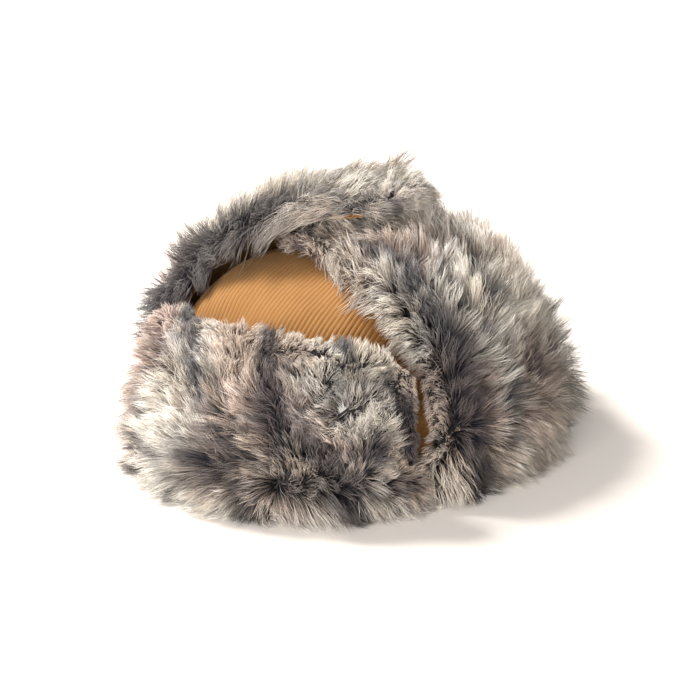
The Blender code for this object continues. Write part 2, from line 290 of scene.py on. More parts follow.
def mesh_from(name, points, quads, triangles=np.empty((0, 3))):
    """A smooth mesh from arrays of points, four-cornered faces and three-cornered ones."""
    corners = np.concatenate([quads.ravel(), triangles.ravel()]).astype(np.int32)
    sizes = np.repeat([4, 3], [len(quads), len(triangles)])
    mesh = bpy.data.meshes.new(name)
    mesh.vertices.add(len(points))
    mesh.vertices.foreach_set("co", points.astype(np.float32).ravel())
    mesh.loops.add(len(corners))
    mesh.loops.foreach_set("vertex_index", corners)
    mesh.polygons.add(len(sizes))
    starts = (np.cumsum(sizes) - sizes).astype(np.int32)
    mesh.polygons.foreach_set("loop_start", starts)
    mesh.update(calc_edges=True)
    mesh.shade_smooth()
    return mesh


def set_floats(mesh, name, values):
    layer = mesh.attributes.new(name, "FLOAT", "POINT")
    layer.data.foreach_set("value", values.astype(np.float32).ravel())


def grid_quads(rows, columns, start=0, flip=False):
    index = start + np.arange(rows * columns).reshape(rows, columns)
    corners = [index[:-1, :-1], index[:-1, 1:], index[1:, 1:], index[1:, :-1]]
    quads = np.stack(corners, axis=-1).reshape(-1, 4)
    return quads[:, ::-1] if flip else quads


def solid_sheet(name, outer, inner, flip=False):
    """A closed sheet between two grids of points that match each other."""
    rows, columns = outer.shape[:2]
    count = rows * columns
    index = np.arange(count).reshape(rows, columns)
    border = np.concatenate([index[0, :-1], index[:-1, -1], index[-1, :0:-1], index[:0:-1, 0]])
    following = np.roll(border, -1)
    rim = np.stack([following, border, border + count, following + count], axis=-1)
    back = grid_quads(rows, columns, count, flip=True)
    quads = np.concatenate([grid_quads(rows, columns), back, rim])
    if flip:
        quads = quads[:, ::-1]
    points = np.concatenate([outer.reshape(-1, 3), inner.reshape(-1, 3)])
    return mesh_from(name, points, quads)


def tube_quads(stations, sides):
    """The side faces of a tube of rings."""
    index = np.arange(stations * sides).reshape(stations, sides)
    beside = np.roll(index, -1, axis=1)
    return np.stack([index[:-1], beside[:-1], beside[1:], index[1:]], axis=-1).reshape(-1, 4)


def repeated(faces, count, per):
    """The same faces for each of count pieces that have per points."""
    return (faces + per * np.arange(count)[:, None, None]).reshape(-1, faces.shape[-1])


def tube_mesh(name, rings):
    """Closed tubes from an array of (tubes, rings, points round a ring, 3)."""
    count, stations, sides = rings.shape[:3]
    per = stations * sides
    quads = repeated(tube_quads(stations, sides), count, per)
    fan = np.array([[0, k + 1, k] for k in range(1, sides - 1)])
    caps = repeated(np.concatenate([fan, per - sides + fan[:, ::-1]]), count, per)
    return mesh_from(name, rings.reshape(-1, 3), quads, caps)


def grid_normals(grid, side=1.0):
    return side * unit(np.cross(np.gradient(grid, axis=1), np.gradient(grid, axis=0)))


def arc_lengths(grid, axis):
    steps = np.linalg.norm(np.diff(grid, axis=axis), axis=-1)
    start = np.zeros_like(np.take(steps, [0], axis=axis))
    return np.concatenate([start, np.cumsum(steps, axis=axis)], axis=axis)


# Materials


class Nodes:
    """A Principled material and a short way to add nodes to it."""

    def __init__(self, name, roughness, specular=0.3, metallic=0.0, sheen=0.0):
        self.material = bpy.data.materials.new(name)
        self.material.use_nodes = True
        self.tree = self.material.node_tree
        self.shader = self.tree.nodes["Principled BSDF"]
        values = {"Roughness": roughness, "Specular IOR Level": specular, "Metallic": metallic}
        for key, value in {**values, "Sheen Weight": sheen}.items():
            self.put(value, self.shader.inputs[key])

    def add(self, kind, inputs=None, **settings):
        node = self.tree.nodes.new(kind)
        for key, value in settings.items():
            setattr(node, key, value)
        for key, value in (inputs or {}).items():
            self.put(value, node.inputs[key])
        return node

    def put(self, value, socket):
        if isinstance(value, bpy.types.NodeSocket):
            self.tree.links.new(value, socket)
        else:
            socket.default_value = value

    def attribute(self, name, output="Fac"):
        return self.add("ShaderNodeAttribute", attribute_name=name).outputs[output]

    def place(self):
        return self.add("ShaderNodeTexCoord").outputs["Object"]

    def noise(self, vector, scale, detail=2.0):
        inputs = {"Vector": vector, "Scale": scale, "Detail": detail}
        return self.add("ShaderNodeTexNoise", inputs).outputs["Fac"]

    def stretched(self, vector, scale):
        return self.add("ShaderNodeMapping", {"Vector": vector, "Scale": scale}).outputs["Vector"]

    def ramp(self, value, stops):
        node = self.add("ShaderNodeValToRGB", {"Fac": value})
        elements = node.color_ramp.elements
        while len(elements) < len(stops):
            elements.new(0.5)
        for element, (position, colour) in zip(elements, stops):
            element.position = position
            element.color = (colour, colour, colour, 1.0)
        return node.outputs["Color"]

    def mix(self, share, first, second):
        node = self.add("ShaderNodeMix", data_type="RGBA")
        for value, place in ((share, 0), (first, 6), (second, 7)):
            self.put((*value, 1.0) if isinstance(value, tuple) else value, node.inputs[place])
        return node.outputs[2]

    def maths(self, operation, first, second):
        return self.add("ShaderNodeMath", {0: first, 1: second}, operation=operation).outputs[0]

    def times(self, first, second):
        return self.maths("MULTIPLY", first, second)

    def spread(self, value, low, high, first, last):
        """The value's stretch from low to high, mapped to first and last."""
        return self.add("ShaderNodeMapRange", {0: value, 1: low, 2: high, 3: first, 4: last}).outputs[0]

    def colour(self, value):
        self.put((*value, 1.0) if isinstance(value, tuple) else value, self.shader.inputs["Base Color"])

    def bump(self, height, distance, strength=1.0):
        inputs = {"Height": height, "Distance": distance, "Strength": strength}
        self.put(self.add("ShaderNodeBump", inputs).outputs["Normal"], self.shader.inputs["Normal"])


def fur_material():
    """Each strand runs from a slate base to a pale tip, with patches of mauve-brown and dark grey."""
    n = Nodes("fur_strands", 0.62, specular=0.22)
    root = n.attribute("root", "Vector")
    along, pick, shade = n.attribute("along"), n.attribute("pick"), n.attribute("shade")
    patch = n.ramp(n.noise(root, 21.0, 2.0), [(0.44, 0.0), (0.60, 1.0)])
    tips = n.mix(patch, (0.99, 0.93, 0.83), (0.70, 0.54, 0.46))
    warm = n.ramp(n.noise(root, 34.0, 1.0), [(0.42, 0.0), (0.62, 1.0)])
    tips = n.mix(n.times(warm, 0.60), tips, (0.86, 0.73, 0.57))
    middle = n.mix(patch, (0.55, 0.48, 0.405), (0.38, 0.265, 0.215))
    base = n.mix(warm, (0.062, 0.064, 0.080), (0.075, 0.060, 0.050))
    tipped = n.ramp(along, [(0.33, 0.0), (0.55, 0.5), (0.80, 1.0)])
    rooted = n.ramp(along, [(0.08, 0.0), (0.42, 1.0)])
    colour = n.mix(tipped, n.mix(rooted, base, middle), tips)
    dark = n.ramp(pick, [(0.22, 1.0), (0.36, 0.0)])
    colour = n.mix(n.times(dark, 0.62), colour, (0.075, 0.070, 0.075))
    pale = n.ramp(pick, [(0.66, 0.0), (0.82, 1.0)])
    pale = n.times(n.times(pale, tipped), 0.75)
    colour = n.mix(pale, colour, (0.97, 0.95, 0.91))
    # Painted light: where the shade value is negative, the tips of the lowest strands are lightened
    # toward pale cream.
    lit = n.times(n.times(shade, -1.0), tipped)
    colour = n.mix(lit, colour, (0.90, 0.86, 0.79))
    # The shade value darkens strands towards dark slate: for the fur's own dark streaks, and as painted
    # shade at the partings, in the tack dents, under the visor's top edge and on the far flap's
    # underside.
    hidden = n.maths("SUBTRACT", 1.0, n.times(tipped, 0.14))
    n.colour(n.mix(n.times(shade, hidden), colour, (0.036, 0.038, 0.052)))
    return n.material


def skin_material():
    """The woolly underfur between the strands."""
    n = Nodes("fur_underwool", 0.95, specular=0.1)
    place = n.place()
    fine = n.noise(place, 900.0, 2.0)
    wool = n.mix(fine, (0.022, 0.022, 0.027), (0.085, 0.082, 0.088))
    n.colour(n.mix(n.noise(place, 40.0, 2.0), wool, (0.050, 0.042, 0.040)))
    n.bump(fine, 0.0012)
    return n.material


def corduroy_material():
    """Velvety ridges with pale tops, dark grooves between them painted as shade, and a fleck of fibre.
    """
    n = Nodes("corduroy", 0.88, specular=0.12, sheen=0.25)
    n.shader.inputs["Sheen Roughness"].default_value = 0.5
    n.shader.inputs["Sheen Tint"].default_value = (1.0, 0.72, 0.42, 1.0)
    place = n.place()
    fine = n.noise(place, 2600.0, 3.0)
    nap = n.noise(n.stretched(place, (260.0, 60.0, 60.0)), 1.0, 3.0)
    wide = n.noise(place, 26.0, 2.0)
    top = n.mix(wide, (0.335, 0.155, 0.045), (0.284, 0.127, 0.035))
    top = n.mix(n.times(nap, 0.5), top, (0.46, 0.245, 0.093))
    top = n.mix(n.times(fine, 0.35), top, (0.30, 0.13, 0.035))
    # Painted shade: the grooves between the wales are mixed toward a dark brown, and the ridge tops keep
    # the cloth's colours.
    raised = n.ramp(n.attribute("ridge"), [(0.10, 0.0), (0.62, 1.0)])
    n.colour(n.mix(raised, (0.15, 0.055, 0.013), top))
    n.bump(n.maths("ADD", fine, nap), 0.00022, 0.8)
    return n.material


def cloth_material(name, finish, scale, dark, light, bump, detail=2.0, strength=1.0):
    """Fine threads between two colours. The finish is (roughness, specular)."""
    n = Nodes(name, finish[0], specular=finish[1])
    threads = n.noise(n.stretched(n.place(), scale), 1.0, detail)
    n.colour(n.mix(threads, dark, light))
    n.bump(threads, bump, strength)
    return n.material


def thread_material(name, dark, light):
    return cloth_material(name, (0.6, 0.3), (900.0, 2600.0, 2600.0), dark, light, 0.00008)


def lining_material():
    n = Nodes("lining_satin", 0.42, specular=0.45, sheen=0.15)
    place = n.place()
    thread = n.noise(n.stretched(place, (2400.0, 500.0, 500.0)), 1.0, 2.0)
    satin = n.mix(thread, (0.060, 0.046, 0.040), (0.105, 0.082, 0.070))
    n.colour(n.mix(n.noise(place, 30.0, 2.0), satin, (0.050, 0.040, 0.036)))
    n.bump(thread, 0.00008, 0.7)
    return n.material


def ribbon_material():
    n = Nodes("sweatband_ribbon", 0.6, specular=0.3, sheen=0.1)
    # Painted shade: the hollows between the ribs are mixed toward near-black.
    ribs = n.ramp(n.attribute("ridge"), [(0.0, 0.0), (1.0, 1.0)])
    fine = n.noise(n.place(), 1500.0, 2.0)
    top = n.mix(fine, (0.050, 0.042, 0.038), (0.095, 0.080, 0.072))
    n.colour(n.mix(ribs, (0.018, 0.015, 0.014), top))
    n.bump(n.maths("ADD", ribs, n.times(fine, 0.4)), 0.00018)
    return n.material


def metal_material():
    n = Nodes("stud_metal", 0.34, specular=0.5, metallic=1.0)
    place = n.place()
    worn = n.noise(place, 420.0, 3.0)
    n.colour(n.mix(worn, (0.20, 0.185, 0.17), (0.42, 0.40, 0.37)))
    n.put(n.spread(worn, 0.0, 1.0, 0.26, 0.46), n.shader.inputs["Roughness"])
    n.bump(n.noise(place, 2600.0, 2.0), 0.00003)
    return n.material


# Fur


def scatter(surface, count, pick, side, depth):
    """Shares u and v of roots spread evenly over the surface's real area."""
    probe = pick.random((2, 4000))
    limit = np.percentile(frame_at(surface, *probe, depth, side)[4], 99.5)
    kept = np.empty((2, 0))
    while kept.shape[1] < count:
        shares = pick.random((2, count * 2))
        area = frame_at(surface, *shares, depth, side)[4]
        kept = np.concatenate([kept, shares[:, pick.random(count * 2) * limit < area]], axis=1)
    return kept[:, :count]


def edge_roots(count, pick):
    """Roots along the top and side edges, and which way each edge faces in u and v."""
    edge = pick.choice(3, size=count, p=(0.26, 0.26, 0.48))
    along = pick.random(count)
    u = np.choose(edge, [np.full(count, 0.002), np.full(count, 0.998), along])
    v = np.choose(edge, [along, along, np.full(count, 0.998)])
    out_u = np.choose(edge, [-1.0, 1.0, 0.0])
    out_v = np.choose(edge, [0.0, 0.0, 1.0])
    return u, v, out_u, out_v


def gather(root, share, pick):
    """Which lock each strand belongs to: the nearest of some strands chosen at random."""
    count = len(root)
    chosen = pick.choice(count, size=max(8, count // share), replace=False)
    tree = KDTree(len(chosen))
    for i, k in enumerate(chosen):
        tree.insert(root[k], i)
    tree.balance()
    return chosen, np.array([tree.find(point)[1] for point in root])


def strand_lines(root, normal, comb, length, lean, upright):
    """Four points of each strand, which starts steep and leans over along the comb direction."""
    start = np.radians(14.0 + upright * 8.0) + lean * math.radians(14.0)
    end = np.radians(50.0 + upright * 12.0) + lean * math.radians(28.0)
    points = [root]
    for k in range(STRAND_RINGS):
        angle = start + (end - start) * (k + 0.5) / STRAND_RINGS
        step = normal * np.cos(angle)[:, None] + comb * np.sin(angle)[:, None]
        points.append(points[-1] + step * (length / STRAND_RINGS)[:, None])
    return np.stack(points, axis=1)


def draw_together(lines, chosen, lock, pull, reach):
    """Draws the tips of a lock's strands towards its own first strand."""
    guide = lines[chosen[lock]]
    apart = np.linalg.norm(guide[:, 0] - lines[:, 0], axis=-1)
    strength = pull * bell(apart, reach)
    share = np.linspace(0.0, 1.0, lines.shape[1]) ** 1.3
    return lines + (guide - lines) * (strength[:, None] * share)[..., None]


def strand_mesh(name, lines, radius, pick_value, shade):
    """A closed tapered three-sided tube along each line."""
    count = len(lines)
    heading = unit(np.gradient(lines, axis=1))
    spread = np.random.default_rng(SEED + 1).normal(size=(count, 3))
    first = unit(np.cross(heading, spread[:, None, :]))
    second = np.cross(heading, first)
    taper = np.array([0.80, 1.0, 0.66])[None, :, None] * radius[:, None, None]
    turns = 2 * np.pi * np.arange(STRAND_SIDES) / STRAND_SIDES
    around = first[:, :-1, None] * np.cos(turns)[:, None]
    around = around + second[:, :-1, None] * np.sin(turns)[:, None]
    rings = lines[:, :-1, None] + around * taper[..., None]
    per = STRAND_RINGS * STRAND_SIDES + 1
    points = np.concatenate([rings.reshape(count, -1, 3), lines[:, -1:, :]], axis=1)
    keep_above(points, 0.0004)
    quads = repeated(tube_quads(STRAND_RINGS, STRAND_SIDES), count, per)
    last = np.arange(per - 1 - STRAND_SIDES, per - 1)
    tip = np.stack([last, np.roll(last, -1), np.full(STRAND_SIDES, per - 1)], axis=-1)
    triangles = repeated(np.concatenate([[[2, 1, 0]], tip]), count, per)
    mesh = mesh_from(name, points.reshape(-1, 3), quads, triangles)
    along = np.append(np.repeat(np.arange(STRAND_RINGS) / STRAND_RINGS, STRAND_SIDES), 1.0)
    set_floats(mesh, "along", np.tile(along, count))
    set_floats(mesh, "pick", np.repeat(pick_value, per))
    # The shade attribute holds the fur's own dark streaks and painted shade, and, where negative,
    # painted light.
    set_floats(mesh, "shade", np.repeat(shade, per))
    root = np.repeat(lines[:, 0], per, axis=0).astype(np.float32)
    mesh.attributes.new("root", "FLOAT_VECTOR", "POINT").data.foreach_set("vector", root.ravel())
    cells = math.ceil(math.sqrt(count))
    cell = np.stack([np.arange(count) % cells, np.arange(count) // cells], axis=-1)[:, None, :]
    side = np.append(np.tile(np.arange(STRAND_SIDES) / (STRAND_SIDES - 1), STRAND_RINGS), 0.5)
    inside = np.stack([0.15 + 0.7 * side, 0.08 + 0.84 * along], axis=-1)[None]
    uv = ((cell + inside) / cells).reshape(-1, 2)
    corners = np.empty(len(mesh.loops), np.int32)
    mesh.loops.foreach_get("vertex_index", corners)
    mesh.uv_layers.new(name="OFBake").data.foreach_set("uv", uv[corners].astype(np.float32).ravel())
    return mesh


def kept_near(points):
    """Eases points back that stand far outside the CAD model's box."""
    for axis in range(3):
        for corner, way in ((cad_box[0], -1.0), (cad_box[1], 1.0)):
            if axis == 2 and way < 0:
                continue
            over = way * (points[..., axis] - corner[axis]) - TIP_MARGIN
            eased = np.where(over > 0, TIP_ROOM * np.tanh(over / TIP_ROOM), over)
            points[..., axis] = corner[axis] + way * (TIP_MARGIN + eased)
    return points


def grow_fur(prefix, surface, side, start, comb_field, count, body, material):
    """Strands over a surface and along its edges, in pieces small enough to keep whole."""
    pick = np.random.default_rng(SEED + len(prefix) * 13 + count)
    edge_count = count // STRANDS_PER_EDGE_STRAND
    u, v = scatter(surface, count - edge_count, pick, side, start)
    edge_u, edge_v, out_u, out_v = edge_roots(edge_count, pick)
    u, v = np.concatenate([u, edge_u]), np.concatenate([v, edge_v])
    root, normal, along_u, along_v = frame_at(surface, u, v, start, side)[:4]
    comb_u, comb_v, lean, size, shade = comb_field(u, v, root)
    chosen, lock = gather(root, LOCK, pick)
    wide_chosen, wide_lock = gather(root, WIDE_LOCK, pick)
    lock_turn = pick.normal(0.0, 0.26, (len(chosen), 3))[lock]
    wide_turn = pick.normal(0.0, 0.20, (len(wide_chosen), 3))[wide_lock]
    comb = unit(along_u * comb_u[:, None] + along_v * comb_v[:, None])
    comb = unit(comb + lock_turn + wide_turn + pick.normal(0.0, 0.17, comb.shape))
    inner = count - edge_count
    outward = along_u[inner:] * out_u[:, None] + along_v[inner:] * out_v[:, None]
    comb[inner:] = unit(outward + 0.45 * comb[inner:] + pick.normal(0.0, 0.2, outward.shape))
    fan = pick.uniform(-0.85, 1.0, edge_count)
    normal[inner:] = unit(normal[inner:] * fan[:, None] + outward * (1.0 - 0.6 * np.abs(fan))[:, None])
    size[inner:] *= EDGE_LENGTH
    long = PILE * size * pick.uniform(0.80, 1.20, len(chosen))[lock] * pick.uniform(0.70, 1.08, count)
    upright = 0.7 * pick.normal(size=len(chosen))[lock] + 0.6 * pick.normal(size=count)
    lines = strand_lines(root - normal * 0.0008, normal, comb, long, lean, upright)
    lines = draw_together(lines, wide_chosen, wide_lock, 0.34, 0.012)
    lines = draw_together(lines, chosen, lock, pick.uniform(0.15, 0.80, count), 0.0045)
    stations = np.linspace(0.0, 1.0, lines.shape[1])
    lines += pick.normal(0.0, 0.0006, lines.shape) * stations[None, :, None]
    lines[..., 2] -= stations[None, :] ** 2 * 0.0022
    lines = kept_near(lines)
    keep_above(lines, 0.0008 + 0.0016 * pick.random(count)[:, None])
    radius = STRAND_RADIUS * pick.uniform(0.70, 1.30, count)
    value = 0.46 * pick.random(count) + 0.32 * pick.random(len(chosen))[lock]
    value = value + 0.22 * pick.random(len(wide_chosen))[wide_lock]
    pieces = []
    in_order = np.argsort(u, kind="stable")
    for i, some in enumerate(np.array_split(in_order, math.ceil(count / STRANDS_PER_PIECE))):
        name = f"{prefix}_strands_{i + 1}"
        mesh = strand_mesh(name, lines[some], radius[some], value[some], shade[some])
        pieces.append(link(name, mesh, material, body))
    return pieces


def add_skin(name, surface, side, start, body, material):
    """The backing that the strands grow from, with its woolly underfur."""
    v, u = np.meshgrid(np.linspace(0, 1, 48), np.linspace(0, 1, 64), indexing="ij")
    inner = surface(u, v, start)
    outer, normal = frame_at(surface, u, v, start + SKIN, side)[:2]
    edge = np.minimum(np.minimum(u, 1 - u) * 12, np.minimum(v * 20, (1 - v) * 12))
    puff = 0.0006 * waves(outer, 0.011, SEED + 3) - 0.0015 * fall(0.0, 1.0, edge)
    outer = outer + normal * puff[..., None]
    keep_above(outer, FLAP_LIFT * 0.6)
    mesh = solid_sheet(name, outer, inner, flip=side < 0)
    return link(name, mesh, material, body), inner


def streaks(across, along, seed):
    """Long dark streaks, 0 to 1: narrow across and four times as long the other way."""
    points = np.stack([across, along / 4, np.zeros_like(across)], axis=-1)
    return smooth(0.25, 0.85, waves(points, 0.017, seed))


def part(angle, height, lines):
    """Pushes away from both sides of parting lines, and how near each one is.

    A line is (angle, height, angle, height), in degrees from the front and in metres."""
    place = np.stack([angle * ARC_PER_DEGREE, height], axis=-1)
    push, near = np.zeros_like(place), np.zeros_like(height)
    for a, low, b, high in lines:
        start, end = np.array([a * ARC_PER_DEGREE, low]), np.array([b * ARC_PER_DEGREE, high])
        share = np.clip((place - start) @ (end - start) / np.sum((end - start) ** 2), 0.0, 1.0)
        away = place - start - share[..., None] * (end - start)
        apart = np.linalg.norm(away, axis=-1)
        aside = unit(np.array([end[1] - start[1], start[0] - end[0]]))
        side = np.tanh((place - start) @ aside / 0.002)
        fade = 1.0 - np.abs(2.0 * share - 1.0) ** 3
        push += (1.1 * side * fade * bell(apart, 0.011))[..., None] * aside
        near = np.maximum(near, bell(apart, 0.0048) * (0.3 + 0.7 * fade))
    return push[..., 0], push[..., 1], near


def visor_comb(u, v, root):
    across = 2 * u - 1
    split = 2 * smooth(0.11, 0.27, v + 0.03 * waves(root, 0.03, 11)) - 1
    swirl = waves(root, 0.052, 12)
    comb_u = 0.95 * across - 0.25 + 0.85 * swirl
    comb_v = split * (0.95 + 0.25 * waves(root, 0.05, 13)) * (1.0 - 0.55 * smooth(0.80, 1.0, v))
    turn, z = np.radians(VISOR_HALF_ANGLE * across), root[:, 2]
    dent = tack_dent(turn, z)
    for tack in (-1.0, 1.0):
        sideways = (turn - tack * math.radians(TACK_ANGLE)) * 0.1 / 0.012
        upwards = (z - TACK_HEIGHT + 0.004) / 0.014
        near = np.exp(-(sideways**2) - upwards**2)
        comb_u = comb_u + 3.2 * near * sideways
        comb_v = comb_v + 2.8 * near * upwards
    push_u, push_v, near = part(VISOR_HALF_ANGLE * across, z, VISOR_PARTINGS)
    comb_u, comb_v = comb_u + push_u, comb_v + push_v
    lean = np.clip(np.hypot(comb_u, comb_v), 0.1, 1.0) * (0.78 + 0.22 * split)
    size = (0.95 + 0.12 * waves(root, 0.04, 14)) * (1 - 0.45 * dent) * (1 - 0.42 * smooth(0.72, 1.0, v))
    ends = smooth(0.82, 0.96, np.abs(across)) * smooth(0.22, 0.40, v)
    size = size * (1 - 0.74 * ends)
    comb_u = comb_u - 1.3 * np.sign(across) * ends
    # The band along the parting between upward and downward hair, and the partings themselves (near),
    # are partly the slate base showing and partly painted shade.
    band = bell(v - 0.19, 0.060)
    arc = 0.1 * turn
    blotch = streaks(0.87 * arc + 0.50 * z, 0.87 * z - 0.50 * arc, 15)
    # Painted shade: a darker band just under the visor's top edge.
    rim = bell(v - 0.80, 0.07) * smooth(-0.5, 0.5, waves(root, 0.05, 16))
    # Painted shade in the tack dents (0.75 * dent); blotch is the fur's own dark streaks.
    shade = np.maximum(np.maximum(0.74 * band, 0.84 * blotch), np.maximum(0.75 * dent, 0.96 * near))
    # Painted light: strands below the parting, outside the streaks, get a negative shade that lightens
    # them; rim adds the painted shade under the top edge.
    shade = np.maximum(shade, 0.66 * rim) - 0.75 * (split < -0.3) * (blotch < 0.5)
    return comb_u, comb_v, lean, size, shade


def ear_comb(u, v, root):
    forward = fall(0.07, 0.19, u + 0.02 * waves(root, 0.03, 21))
    down = fall(0.07, 0.16, v + 0.012 * waves(root, 0.03, 22))
    swirl = waves(root, 0.055, 23)
    comb_u = 0.45 + 0.70 * swirl - 1.70 * forward + 0.9 * smooth(0.90, 1.0, u)
    comb_v = (0.85 + 0.25 * waves(root, 0.05, 24)) * (1.0 - 2.0 * down)
    comb_v = comb_v * (1.0 - 0.75 * smooth(0.82, 1.0, v))
    angle = np.degrees(np.arctan2(np.abs(root[:, 0]) / flap[0], -root[:, 1] / flap[1]))
    push_u, push_v, near = part(angle, root[:, 2], EAR_PARTINGS)
    comb_u, comb_v = comb_u + push_u, comb_v + push_v
    lean = np.clip(np.hypot(comb_u, comb_v), 0.1, 1.0) * (1.0 - 0.65 * down)
    size = (1.0 + 0.14 * waves(root, 0.045, 25)) * (1.0 - 0.15 * fall(0.0, 0.10, u))
    notch = fall(0.0, 0.09, u) * smooth(0.10, 0.16, v) * fall(0.30, 0.42, v)
    size = size * (1.0 - 0.74 * notch)
    size = size * (1.0 - 0.26 * smooth(0.88, 1.0, v))
    size = size + 0.45 * fall(0.0, 0.06, u) * smooth(0.50, 0.68, v) * (root[:, 0] < 0.06)
    # The parting streak near the front edge, the band at the parting and the partings (near) are partly
    # the slate base showing and partly painted shade; blotch is the fur's own dark streaks.
    parting = bell(u - 0.130, 0.062) * smooth(-1.3, -0.1, waves(root, 0.04, 27))
    blotch = streaks(0.15 * u, 0.10 * v, 26)
    band = bell(v - 0.12, 0.045)
    shade = np.maximum(np.maximum(1.0 * parting, 0.84 * blotch), np.maximum(0.40 * band, 0.95 * near))
    # Painted shade: the far flap's underside, near its front edge, is darkened.
    under = smooth(0.0, 0.03, -root[:, 0]) * fall(0.08, 0.24, u)
    shade = np.maximum(shade, 0.85 * under * smooth(0.15, 0.30, v) * fall(0.70, 0.90, v))
    # Painted light: strands below the parting that are not already dark get a negative shade that
    # lightens them.
    shade = shade - 0.55 * (down > 0.6) * (shade < 0.5)
    return comb_u, comb_v, lean, size, shade


def neck_comb(u, v, root):
    down = fall(0.09, 0.19, v + 0.015 * waves(root, 0.03, 31))
    comb_u = 0.65 * waves(root, 0.055, 32) + 0.5 * (2 * u - 1)
    comb_v = (0.9 + 0.2 * waves(root, 0.05, 33)) * (1.0 - 2.0 * down)
    lean = np.clip(np.hypot(comb_u, comb_v), 0.1, 1.0) * (1.0 - 0.65 * down)
    size = 1.0 + 0.14 * waves(root, 0.045, 34)
    blotch = streaks(0.15 * u, 0.09 * v, 35)
    # The band at the parting is partly the slate base showing and partly painted shade; blotch is the
    # fur's own dark streaks.
    band = bell(v - 0.14, 0.045)
    shade = np.clip(0.60 * blotch + 0.28 * band, 0.0, 0.85)
    return comb_u, comb_v, lean, size, shade


# Cloth


def even_slice(layer, fixed, low, high, along_y, count):
    """Plan shares along one slice of a dome, spaced evenly over its surface."""
    run = low + (high - low) * (1 - np.cos(np.pi * np.linspace(0, 1, 500))) / 2
    still = np.full_like(run, fixed)
    points = dome(layer, still, run) if along_y else dome(layer, run, still)
    arc = arc_lengths(points, 0)
    run = np.interp(np.linspace(0.0, arc[-1], count), arc, run)
    return (still[:count], run) if along_y else (run, still[:count])


def panel_grid(layer, kind, across, along):
    """A panel of the crown: rows run front to back, columns from side to side."""
    edge = PANEL_HALF_WIDTH + (-PANEL_GAP if kind == "centre" else PANEL_GAP)
    shares = []
    if kind == "centre":
        for x in np.linspace(-edge, edge, across) / layer[0]:
            reach = math.sqrt(1 - x * x)
            shares.append(even_slice(layer, x, -reach, reach, True, along))
        x, y = (np.array([s[i] for s in shares]).T for i in (0, 1))
    else:
        side = 1.0 if kind == "left" else -1.0
        seam = edge / layer[0]
        reach = math.sqrt(1 - seam * seam) * 0.9995
        turn = np.linspace(-math.asin(reach), math.asin(reach), along)
        for y in np.sin(turn):
            shares.append(even_slice(layer, y, seam, math.sqrt(1 - y * y), False, across))
        x, y = (np.array([s[i] for s in shares]) for i in (0, 1))
        x = side * x
    return x, y


def ridges(distance):
    """Rounded wales with narrow grooves, 0 to 1."""
    return np.abs(np.sin(np.pi * distance / WALE)) ** 0.6


def corduroy_sheet(name, base, normal, distance, material, side):
    """A ridged outer face over a smooth inner one, with soft creases in both."""
    ridge = ridges(distance)
    soft = CREASE * waves(base, 0.030, SEED + 5) + 0.4 * CREASE * waves(base, 0.012, SEED + 6)
    fray = 0.00006 * waves(base, 0.0016, SEED + 7)
    outer = base + normal * (WALE_DEPTH * (ridge - 1) + soft + fray)[..., None]
    inner = base + normal * (soft - CORDUROY)[..., None]
    for grid in (outer, inner):
        keep_above(grid, FLOOR_GAP)
    mesh = solid_sheet(name, outer, inner, flip=side < 0)
    set_floats(mesh, "ridge", np.concatenate([ridge.ravel(), np.full(ridge.size, 0.6)]))
    return link(name, mesh, material, "crown")


def add_crown(layer, material, thread):
    """The three corduroy panels, their wales running front to back, and the topstitching."""
    for kind in ("centre", "left", "right"):
        x, y = panel_grid(layer, kind, *((270, 110) if kind == "centre" else (250, 90)))
        base = dome(layer, x, y)
        side = -1.0 if kind == "right" else 1.0
        distance = x * layer[0] if kind == "centre" else arc_lengths(base, 1) + WALE / 2
        normal = grid_normals(base, side)
        sink = 0.0009 * np.exp(-(((np.abs(base[..., 0]) - PANEL_HALF_WIDTH) / 0.0016) ** 2))
        full = np.linalg.norm((base - SHOULDER) / SHOULDER_SPREAD, axis=-1)
        base = base + normal * (SHOULDER_RISE * np.exp(-(full**2)) - sink)[..., None]
        piece = corduroy_sheet(f"crown_corduroy_{kind}", base, normal, distance, material, side)
        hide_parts(f"crown_{kind}_panel")
    for kind, side in (("left", 1.0), ("right", -1.0)):
        for gap in (-TOPSTITCH_GAP, TOPSTITCH_GAP):
            share = (PANEL_HALF_WIDTH + gap) / layer[0]
            reach = math.sqrt(1 - share * share) * 0.998
            x, y = even_slice(layer, share, -reach, reach, True, 400)
            line = dome(layer, side * x, y, 0.00005)
            place = "inner" if gap < 0 else "outer"
            add_stitches(f"crown_topstitch_{kind}_{place}", line, thread, "crown", 0.0030)


def add_stitches(name, line, material, body, pitch, radius=0.00032):
    """A row of separate thread stitches along a line, each a closed tapered bead."""
    arc = arc_lengths(line, 0)
    starts = np.arange(0.0, arc[-1] - pitch, pitch)
    run = starts[:, None] + pitch * np.linspace(0.0, 0.74, 6)
    centres = np.stack([np.interp(run, arc, line[:, axis]) for axis in range(3)], axis=-1)
    heading = unit(centres[:, -1] - centres[:, 0])
    away = unit(np.cross(heading, np.array([0.31, 0.17, 0.93])))
    other = np.cross(heading, away)
    sizes = radius * np.array([0.25, 0.85, 1.0, 1.0, 0.85, 0.25])
    turns = 2 * np.pi * np.arange(6) / 6
    around = away[:, None, None] * np.cos(turns)[:, None] + other[:, None, None] * np.sin(turns)[:, None]
    points = centres[:, :, None] + around * sizes[:, None, None]
    keep_above(points, FLOOR_GAP)
    return link(name, tube_mesh(name, points), material, body)


